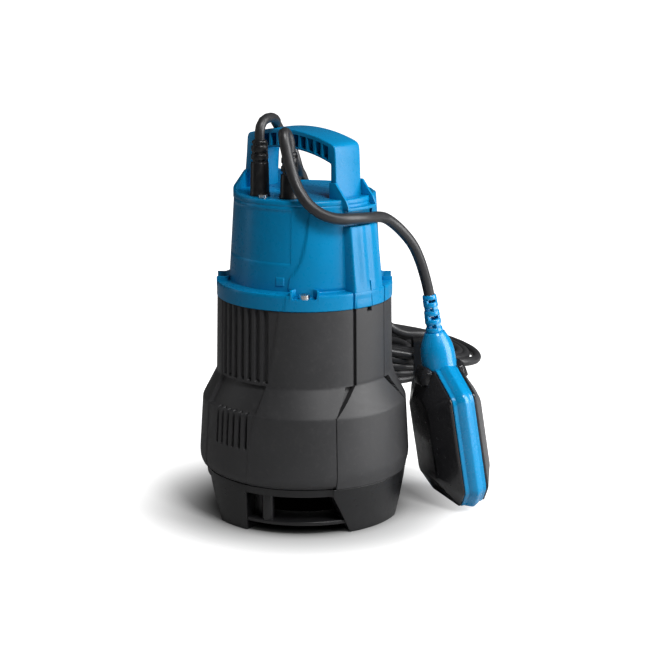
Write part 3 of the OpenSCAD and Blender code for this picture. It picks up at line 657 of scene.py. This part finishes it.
housing = piece(
    "housing", [skin([(0, z) for z in housing_rows], housing_inner, housing_columns, housing_point)],
    "pump", "grey_plastic", sharp=38, replaces=("pump_housing",),
)
carve(housing, [moved(solid([(14.6, 60), (14.6, 92)], 64), lay_over)])
housing_seat = piece("outlet_seat", [moved(seat, lay_over)], "pump", "grey_plastic", bevel=0.4)
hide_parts("pump_housing")

# ---------------------------------------------------------------- base

# Columns shared by the rings over and under the windows
ring_columns = spread((-180, 180, 2.0))


def ring_point(u, r, z):
    a = abs(u)
    out = 73.0 if r > 72.9 else r
    if z > 21:
        front = smooth((34.5 - a) / 4)
        out = 73.6 + 0.6 * (z - 22) / 6 + front * (2.6 + 0.4 * (z - 22) / 6)
    return polar(u, out, z)


upper = skin([(73, 22), (73.4, 22.6), (73.4, 27.2), (73.2, 27.8)], [(69, 22), (69, 27.8)], ring_columns,
    ring_point)


def lip_point(u, r, z):
    """The intake ring reaches the rim only across the front windows."""
    if r < 60:
        return polar(u, r, z)
    a = abs(u)
    reach = 58.0 + 14.5 * smooth((88 - a) / 4)
    return polar(u, r - 72.5 + reach, z)


lip = skin([(72.0, 0), (72.5, 0.5), (72.5, 2.5), (72.0, 3)], [(48, 0), (47.6, 0.5), (47.6, 2.5), (48, 3)],
           ring_columns, lip_point)


def foot(centre, left_low, left_high, right_low, right_high, r_low, r_high, mirror=1):
    rows = []
    for z in (-7, -5, 2, 9, 16, 22, 27.8):
        t = (z + 7) / 35
        left = table(z, [(-7, left_low), (22, left_high)])
        right = table(z, [(-7, right_low), (22, right_high)])
        rows.append((z, centre + mirror * left, centre + mirror * right, r_low + (r_high - r_low) * t))
    return section(None, None, rows, lambda z: 57 + 3 * smooth((z - 10) / 10), 22)


feet = [
    foot(0, -20.7, -32, 20.7, 32, 73, 77.1),
    foot(180, -20.7, -32, 20.7, 32, 73, 74.2),
    foot(-94, -11.5, -25, 11, 11, 73, 74.2),
    foot(94, -11, -11, 11.5, 25, 73, 74.2),
]
posts = []
for s in (-1, 1):
    posts.append(shifted(solid([(4.5, 0.3), (4.5, 27)], 40), *polar(s * 71, 67.6, 0)))
    # The dark recess between the foot and the pillar has a back wall
    posts.append(section(s * 83.5, s * 72, [(1, 0, 0, 63.5), (27, 0, 0, 63.5)], 61.0, 8))
base = piece(
    "suction_skirt", [upper, lip] + feet + posts, "pump", "black_plastic", bevel=0.9, segments=3,
    replaces=("suction_base",),
)
carve(base, [
    turned(shifted(solid([(4.4, -9), (4.4, 3.0), (2.2, 3.01), (2.2, 40)], 40), 67.5, 0, 0), a)
    for a in (-12, -106, 82, 168)
])

# ---------------------------------------------------------------- top cover

COVER_SWEEP = [
    (157, 62.2), (160.7, 61.3), (168, 59.7), (173, 60.6), (180, 59.5), (184, 55.8), (191, 51.7), (200, 49),
    (210, 46.9), (226, 44.6), (236, 43.6),
]
LUGS = (-60, 30, 120, 210)


def cone(z):
    return 55.8 - 4.1 * (z - 169.4) / 65.6


def cover_point(u, r, z):
    a = abs(u)
    edge = table(z, COVER_SWEEP)
    if z > 170:
        r = cone(z) + 0.9 * smooth((edge - a) / 0.8) * smooth((z - 170.5) / 1.5)
        r -= 0.35 * window(a, 58.2, 138, 0.35) * window(z, 189.7, 228.3, 0.5)
        r += 0.7 * window(a, 63, 70, 0.8) * window(z, 173.6, 180.4, 0.8)
        r -= 0.3 * max(0.0, 1 - abs(z - 231) / 0.5)
        if z > 233.2:
            r -= 1.7 * (1 - math.sqrt(max(0.0, 1 - ((z - 233.2) / 1.8) ** 2)))
    elif r > 64:
        r += 0.35 * smooth((edge - a) / 0.5)
        r -= 2.6 * window(a, 14.3, 15.9, 0.3)
    if z < 173:
        for lug in LUGS:
            off = math.radians((u + AXIS - lug + 180) % 360 - 180)
            if abs(off) < 0.3:
                side = abs(r * math.sin(off))
                inside = smooth((8.9 - side) / 0.5)
                if z > 166.4:
                    if r > 56.4:
                        z = z + (166.4 - z) * inside
                    else:
                        r = r + (min(r, 54.3) - r) * inside
    return polar(u, r, z)


cover_rows = [
    (64.6, 157.6), (65.1, 158.1), (65.1, 163), (65.1, 166.2), (65.1, 166.6), (65.1, 168.4), (64.8, 169.1),
    (64.2, 169.4), (62.5, 169.41), (60, 169.42), (57.6, 169.43), (56.6, 169.45), (56.2, 169.7), (55.9, 170.2),
]
cover_rows += [(55, z) for z in (
    171, 172, 173, 173.6, 174.2, 175, 177, 179, 179.8, 180.4, 181, 182.5, 184, 186, 188, 189.6, 189.9, 190.2,
    191, 194, 198, 203, 208, 213, 218, 223, 226, 227.7, 228.1, 228.4, 229.2, 230.5, 230.8, 231, 231.2, 231.5,
    232.4, 233.2, 233.8, 234.3, 234.7, 234.9, 235,
)]
cover_columns = spread(
    (-180, -147, 3), (-147, -129, 0.4), (-129, -78, 1.5), (-78, -36, 0.25), (-36, -18, 1.5), (-18, -12, 0.2),
    (-12, 12, 1.5), (12, 18, 0.2), (18, 33, 1.5), (33, 66, 0.25), (66, 123, 1.5), (123, 141, 0.4),
    (141, 180, 3),
)
cover_inner = [(60.6, 157.6), (60.6, 162), (52.7, 166.5), (48.7, 234.4)]
shell = skin(cover_rows, cover_inner, cover_columns, cover_point)
deck = solid([(48.9, 231.6), (48.9, 234.6)], 128)

# The column: a bowed front with soft flutes, its corners rounded
column = []
for z in (157.7, 158.3, 162, 166, 169, 172, 176, 180, 190, 200, 208, 214.6, 215.6, 216):
    r = table(z, [(157.6, 66.1), (169, 65.0), (216, 59.6)]) - 0.7 * smooth((z - 215) / 1.0)
    r -= 0.4 * smooth((158.3 - z) / 0.6)
    half_width = table(z, [(157.6, 16.3), (216, 15.3)])
    front = []
    for i in range(49):
        t = -1 + i / 24
        y = half_width * t
        x = math.sqrt(r * r - y * y) - 0.32 * (1 - math.cos(3 * math.pi * (t + 1))) * smooth((z - 166) / 14)
        x -= 1.8 * (1 - math.sqrt(max(0.0, 1 - (max(0.0, abs(y) - half_width + 1.8) / 1.8) ** 2)))
        front.append((x, y, z))
    column.append([(34, -half_width, z)] + front + [(34, half_width, z)])
column = turned(rings(column, closed=False), AXIS)
seam = turned(rings([
    [(60, -0.45, z), (r, -0.45, z), (r, 0.45, z), (60, 0.45, z)]
    for z, r in ((158.2, 66.4), (169, 65.5), (176, 64.7), (177.5, 62))
], closed=False), AXIS)


def shelf_outline(r, y):
    out = [(38, -y)]
    out += [(math.sqrt(r * r - t * t), t) for t in [-y + 2 * y * i / 24 for i in range(25)]]
    return out + [(38, y)]


shelf = turned(prism(shelf_outline(57.8, 15.4), 227, 229.2), AXIS)
cheek = rounded(
    [(38, 227.5), (56.2, 227.5), (55.9, 230.5), (53.6, 234.8), (50.2, 238.4), (43.6, 246.2), (38, 246.2)],
    1.0, 3)
cheeks = [turned(moved(prism(cheek, s * 14.8 - 1.0, s * 14.8 + 1.0), UPRIGHT), AXIS) for s in (-1, 1)]
# Thin walls join the cheeks to the column behind the cord
for s, reach in ((-1, 53.2), (1, 51.4)):
    cheeks.append(turned(moved(prism(
        [(44, 214), (reach + 1.5, 214), (reach, 217), (reach, 226), (reach + 1.5, 228), (44, 228)],
        s * 14.7 - 1.0, s * 14.7 + 1.0), UPRIGHT), AXIS))

# Six-sided frames round the lug screws, open at the front
frames = []
for lug in LUGS:
    outer = [(4.0, -10.5), (-2.5, -10.5), (-8.2, -5), (-8.2, 5), (-2.5, 10.5), (4.0, 10.5)]
    inner = [(4.0, 8.8), (-1.8, 8.8), (-6.5, 4.2), (-6.5, -4.2), (-1.8, -8.8), (4.0, -8.8)]
    frames.append(turned(shifted(prism(outer + inner, 165.5, 172.4), 60.8, 0, 0), lug))
cover = piece(
    "cover_shell", [shell, deck], "pump", "blue_plastic", sharp=38, replaces=("top_cover",),
)
column_piece = piece(
    "cover_column", [column, seam, shelf] + cheeks + frames, "pump", "blue_plastic", bevel=0.45, segments=2,
)
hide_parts("top_cover")

# ---------------------------------------------------------------- handle


def arc(r, x0, x1, n=28):
    out = []
    for i in range(n + 1):
        x = x0 + (x1 - x0) * i / n
        out.append((x, 148.7 + math.sqrt(r * r - (x + 5) ** 2)))
    return out


outline = [(37.2, 226), (44.6, 226), (44.2, 231), (42.8, 244), (42.0, 262), (41.6, 268), (41.0, 270.8),
    (39.6, 272.6)]
outline += arc(132, 37, -40.4) + [(-42.6, 275.4), (-44.0, 274.2), (-44.9, 271.5)]
outline += [(-46.0, 258), (-47.2, 247), (-48.4, 236), (-48.4, 226), (-39.6, 226), (-38.6, 240), (-37.4, 258)]
outline += arc(118.4, -36.9, 36.9) + [(37.3, 258), (37.4, 240)]
handle = piece(
    "handle_grip", [turned(moved(prism(outline, -13.7, 13.7), UPRIGHT), AXIS)], "pump", "blue_plastic",
    bevel=1.1,
    segments=4, angle=28, replaces=("carry_handle",),
)
pockets = []
for i in range(10):
    x0 = -35.2 + 7.2 * i
    cell = arc(129.0, x0, x0 + 5.5, 3) + arc(120.0, x0 + 5.5, x0, 3)
    for low, high in ((-20, -3.5), (3.5, 20)):
        pockets.append(turned(moved(prism(cell, low, high), UPRIGHT), AXIS))
carve(handle, pockets)
# Gussets carry the rear upright out to the rim
gussets = []
for s in (-1, 1):
    start, end = Vector((-46.9, s * 12.2)), Vector((-37.6, s * 35.0))
    run = end - start
    side = Vector((run.y, -run.x)).normalized() * (1.3 * s)
    loops = []
    for offset in (-1, 1):
        loop = []
        for t, z in ((0, 230), (0, 247.4), (0.12, 247.0), (0.94, 238.6), (1, 237), (1, 230)):
            p = start + run * t + side * offset
            loop.append((p.x, p.y, z))
        loops.append(loop)
    gussets.append(turned(rings(loops, closed=False), AXIS))
gusset_piece = piece("handle_gussets", gussets, "pump", "blue_plastic", bevel=0.5, segments=2)
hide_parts("carry_handle")

# ---------------------------------------------------------------- glands


def gland_boot(name, at, top, node):
    profile = [
        (4.6, 233), (7.4, 234.5), (7.4, 236), (7.0, 236.8), (6.9, 240), (6.45, top - 16.6), (6.2, top - 16.1),
        (5.2, top - 15.9), (5.1, top - 14.2), (6.1, top - 14.0), (6.3, top - 13.5), (6.3, top - 10.8),
        (6.1, top - 10.3), (5.0, top - 10.1), (5.0, top - 8.2), (5.9, top - 8.0), (6.15, top - 7.5),
        (6.05, top - 4.6), (5.8, top - 4.1), (4.9, top - 3.9), (4.9, top - 2.6), (5.5, top - 2.3),
        (5.6, top - 1.3), (5.2, top - 0.5), (4.4, top),
    ]
    shells = [shifted(solid(profile, 72), at[0], at[1], 0)]
    # Bridges across the ring grooves, staggered
    for low, high, turn in ((-15.9, -13.9, 40), (-10.2, -8.0, 130), (-4.0, -2.4, 20)):
        for k in range(3):
            a = turn + 120 * k
            bridge = prism([(3, -1.5), (5.95, -1.4), (5.95, 1.4), (3, 1.5)], top + low - 0.3,
                top + high + 0.3)
            shells.append(shifted(turned(bridge, a), at[0], at[1], 0))
    return piece(name, shells, "pump", "boot_rubber", bevel=0.12, segments=2, angle=50, replaces=(node,))


gland_boot("mains_boot", (-17, -35), 275, "mains_gland")
gland_boot("float_boot", (8, -35), 268, "float_gland")

# ---------------------------------------------------------------- float

IN_FLOAT = (
    Matrix.Translation((98, 67.5, -3.8)) @ Matrix.Rotation(math.radians(30), 4, "Z")
    @ Matrix.Rotation(math.radians(-9), 4, "Y") @ Matrix.Rotation(math.radians(18), 4, "Z")
)


def float_outline(m, r=5.0):
    w = 40
    points = [
        (-27 + m / 2, m, r + 4), (27 - m / 2, m, r + 4), (w - m, 13.5 + m / 2, r + 5),
        (w - m, 87 - m / 2, r + 5), (14 - m / 4, 105 - m, r + 3), (-14 + m / 4, 105 - m, r + 3),
        (m - w, 87 - m / 2, r + 5), (m - w, 13.5 + m / 2, r + 5),
    ]
    return rounded(points, r, 6)


def float_loop(x, m, r=5.0):
    return [(x, y, z) for y, z in float_outline(m, r)]


band = rings([float_loop(x, m) for x, m in (
    (-8.5, 0.5), (-8.2, 0.1), (-7.9, 0), (-5.6, 0), (-5.3, -0.1), (-5.0, -0.5), (-0.2, -2.3), (0.5, -2.45),
    (1.2, -2.3), (5.4, -0.5), (5.7, -0.1), (6.0, 0), (7.9, 0), (8.2, 0.1), (8.5, 0.5), (8.5, 2.6),
    (-8.5, 2.6),
)], closed=True)


def oval(z, half_y, half_x, power, steps=64):
    loop = []
    for k in range(steps):
        a = 2 * math.pi * k / steps
        c, s = math.cos(a), math.sin(a)
        loop.append((
            half_x * math.copysign(abs(c) ** (2 / power), c),
            half_y * math.copysign(abs(s) ** (2 / power), s), z
        ))
    return loop


neck = rings([oval(*row) for row in (
    (95, 21.5, 9.6, 3.0), (95.6, 20.2, 10.9, 2.8), (96.6, 18.6, 12.0, 2.5), (98.5, 16.6, 12.6, 2.25),
    (101, 15.2, 12.9, 2.1), (104, 14.4, 13.1, 2.03), (108, 13.9, 13.1, 2), (113, 13.4, 13.0, 2),
    (117, 12.9, 12.7, 2), (120.5, 12.2, 12.1, 2), (123.5, 11.2, 11.2, 2), (126.4, 9.9, 9.9, 2),
    (128.8, 8.7, 8.7, 2), (130.6, 7.9, 7.9, 2), (131.2, 7.3, 7.3, 2), (131.3, 5.6, 5.6, 2),
)], closed=False)
float_frame = piece(
    "float_frame", [moved(band, IN_FLOAT), moved(neck, IN_FLOAT)], "float", "float_blue", sharp=34,
    replaces=("float_band",),
)

relief = []
for k in range(4):
    z = 131.2 + 6.5 * k
    r = 6.5 - 0.32 * k
    relief.append(lathe([
        (3.2, z - 0.2), (r - 0.5, z - 0.2), (r - 0.1, z + 0.2), (r, z + 0.7), (r - 0.1, z + 3.1),
        (r - 0.5, z + 3.6), (3.2, z + 3.6),
    ], 48))
    for s in (0, 180):
        turn = s + (0 if k % 2 else 90) + 18
        high = 3.4 if k < 3 else 2.4
        relief.append(turned(prism(
            [(3.4, -2.4), (r - 0.25, -2.2), (r - 0.25, 2.2), (3.4, 2.4)], z + 3.2, z + 3.4 + high), turn))
relief.append(lathe([(3.5, 156.5), (5.2, 156.5), (5.4, 157.0), (5.2, 159.3), (4.6, 160.0), (3.5, 160.0)], 48))
piece(
    "float_relief", [moved(s, IN_FLOAT) for s in relief], "float", "float_blue", bevel=0.15, segments=2,
    angle=50,
    replaces=("float_strain_relief",),
)

for side, name, node in ((-1, "float_cheek_left", "float_left_shell"),
    (1, "float_cheek_right", "float_right_shell")):
    rows = (
        (6.0, 2.7), (8.4, 2.7), (8.55, 1.1), (9.0, 0.7), (9.9, 0.6), (10.4, 0.9), (11.0, 1.6), (20.6, 18.6),
        (21.2, 19.6), (21.7, 20.4), (21.95, 21.6), (22.0, 23.0),
    )
    # The shell is hollow: its inside runs from the floor of the cup out to the rim, then the outside follows
    inside = ((20.4, 24.6), (20.2, 22.6), (19.4, 20.4), (10.4, 4.6), (9.6, 4.4), (6.0, 4.4))
    body = rings([float_loop(side * x, m, 1.6) for x, m in inside + rows], closed=False)
    # A black saddle that grips the foot of the neck
    saddle = rings([
        [(side * x, y, z) for y, z in rounded(
            [(-b, 94), (b, 94), (b * 0.9, t - 4), (b * 0.55, t), (-b * 0.55, t), (-b * 0.9, t - 4)], 1.2, 3)]
        for x, b, t in ((7.5, 13.5, 105), (14.0, 13.0, 107.5), (17.0, 11.0, 104.5), (19.0, 8.0, 100.0))
    ], closed=False)
    piece(
        name, [moved(body, IN_FLOAT), moved(saddle, IN_FLOAT)], "float", "float_black", bevel=0.5, segments=2,
        angle=22, sharp=24, replaces=(node,),
    )

# ---------------------------------------------------------------- floor, light and sky


def floor():
    size = 30.0
    mesh = bpy.data.meshes.new("floor")
    z = -0.0071
    mesh.from_pydata([(-size, -size, z), (size, -size, z), (size, size, z), (-size, size, z)], [],
        [(0, 1, 2, 3)])
    obj = bpy.data.objects.new("floor", mesh)
    scene.collection.objects.link(obj)
    m = bpy.data.materials.new("floor_white")
    m.use_nodes = True
    nodes, links = m.node_tree.nodes, m.node_tree.links
    shader = nodes["Principled BSDF"]
    shader.inputs["Roughness"].default_value = 0.9
    shader.inputs["Specular IOR Level"].default_value = 0.0
    shader.inputs["Emission Color"].default_value = (1, 1, 1, 1)
    # The floor glows only where it is seen, so that it goes white without lighting the pump from below
    path = nodes.new("ShaderNodeLightPath")
    glow = nodes.new("ShaderNodeMath")
    glow.operation = "MULTIPLY"
    glow.inputs[1].default_value = 1.2
    links.new(path.outputs["Is Camera Ray"], glow.inputs[0])
    # Painted shadow: the glow is held off under the pump and fades in round it, standing in for the pump's
    # soft shadow
    place = nodes.new("ShaderNodeTexCoord")
    reach = nodes.new("ShaderNodeVectorMath")
    reach.operation = "LENGTH"
    links.new(place.outputs["Object"], reach.inputs[0])
    painted_shadow_fade = nodes.new("ShaderNodeMapRange")
    painted_shadow_fade.interpolation_type = "SMOOTHSTEP"
    painted_shadow_fade.inputs["From Min"].default_value = 0.062
    painted_shadow_fade.inputs["From Max"].default_value = 0.17
    links.new(reach.outputs["Value"], painted_shadow_fade.inputs["Value"])
    glow_with_painted_shadow = nodes.new("ShaderNodeMath")
    glow_with_painted_shadow.operation = "MULTIPLY"
    links.new(glow.outputs[0], glow_with_painted_shadow.inputs[0])
    links.new(painted_shadow_fade.outputs["Result"], glow_with_painted_shadow.inputs[1])
    links.new(glow_with_painted_shadow.outputs[0], shader.inputs["Emission Strength"])
    # Painted shade: the floor's own colour goes near black under the pump and lightens just past its rim
    painted_shade_tint = nodes.new("ShaderNodeMapRange")
    painted_shade_tint.interpolation_type = "SMOOTHSTEP"
    painted_shade_tint.inputs["From Min"].default_value = 0.055
    painted_shade_tint.inputs["From Max"].default_value = 0.085
    painted_shade_tint.inputs["To Min"].default_value = 0.02
    painted_shade_tint.inputs["To Max"].default_value = 0.5
    links.new(reach.outputs["Value"], painted_shade_tint.inputs["Value"])
    links.new(painted_shade_tint.outputs["Result"], shader.inputs["Base Color"])
    mesh.materials.append(m)


def lamp(name, at, aim, size, size_y, power, colour=(1, 1, 1)):
    data = bpy.data.lights.new(name, "AREA")
    data.shape = "RECTANGLE"
    data.size = size
    data.size_y = size_y
    data.energy = power
    data.color = colour
    obj = bpy.data.objects.new(name, data)
    obj.location = at
    obj.rotation_euler = (Vector(aim) - Vector(at)).to_track_quat("-Z", "Y").to_euler()
    scene.collection.objects.link(obj)
    return obj


floor()
world = bpy.data.worlds.new("world")
world.use_nodes = True
sky = world.node_tree.nodes["Background"]
sky.inputs["Color"].default_value = (1, 1, 1, 1)
seen = world.node_tree.nodes.new("ShaderNodeLightPath")
level = world.node_tree.nodes.new("ShaderNodeMapRange")
level.inputs["To Min"].default_value = 0.05
level.inputs["To Max"].default_value = 1.0
world.node_tree.links.new(seen.outputs["Is Camera Ray"], level.inputs["Value"])
world.node_tree.links.new(level.outputs["Result"], sky.inputs["Strength"])
scene.world = world
scene.view_settings.view_transform = "Standard"
# A large soft light from the right and rear, a small one high at the front right, a weak one from the left
lamp("key", (1.25, 0.42, 0.62), (0, 0, 0.14), 1.0, 1.3, 24.0)
lamp("top", (0.85, -0.47, 1.4), (0, 0, 0.11), 0.4, 0.4, 15.0)
lamp("left", (-1.3, -0.5, 0.6), (0, 0, 0.14), 0.25, 1.2, 1.3)
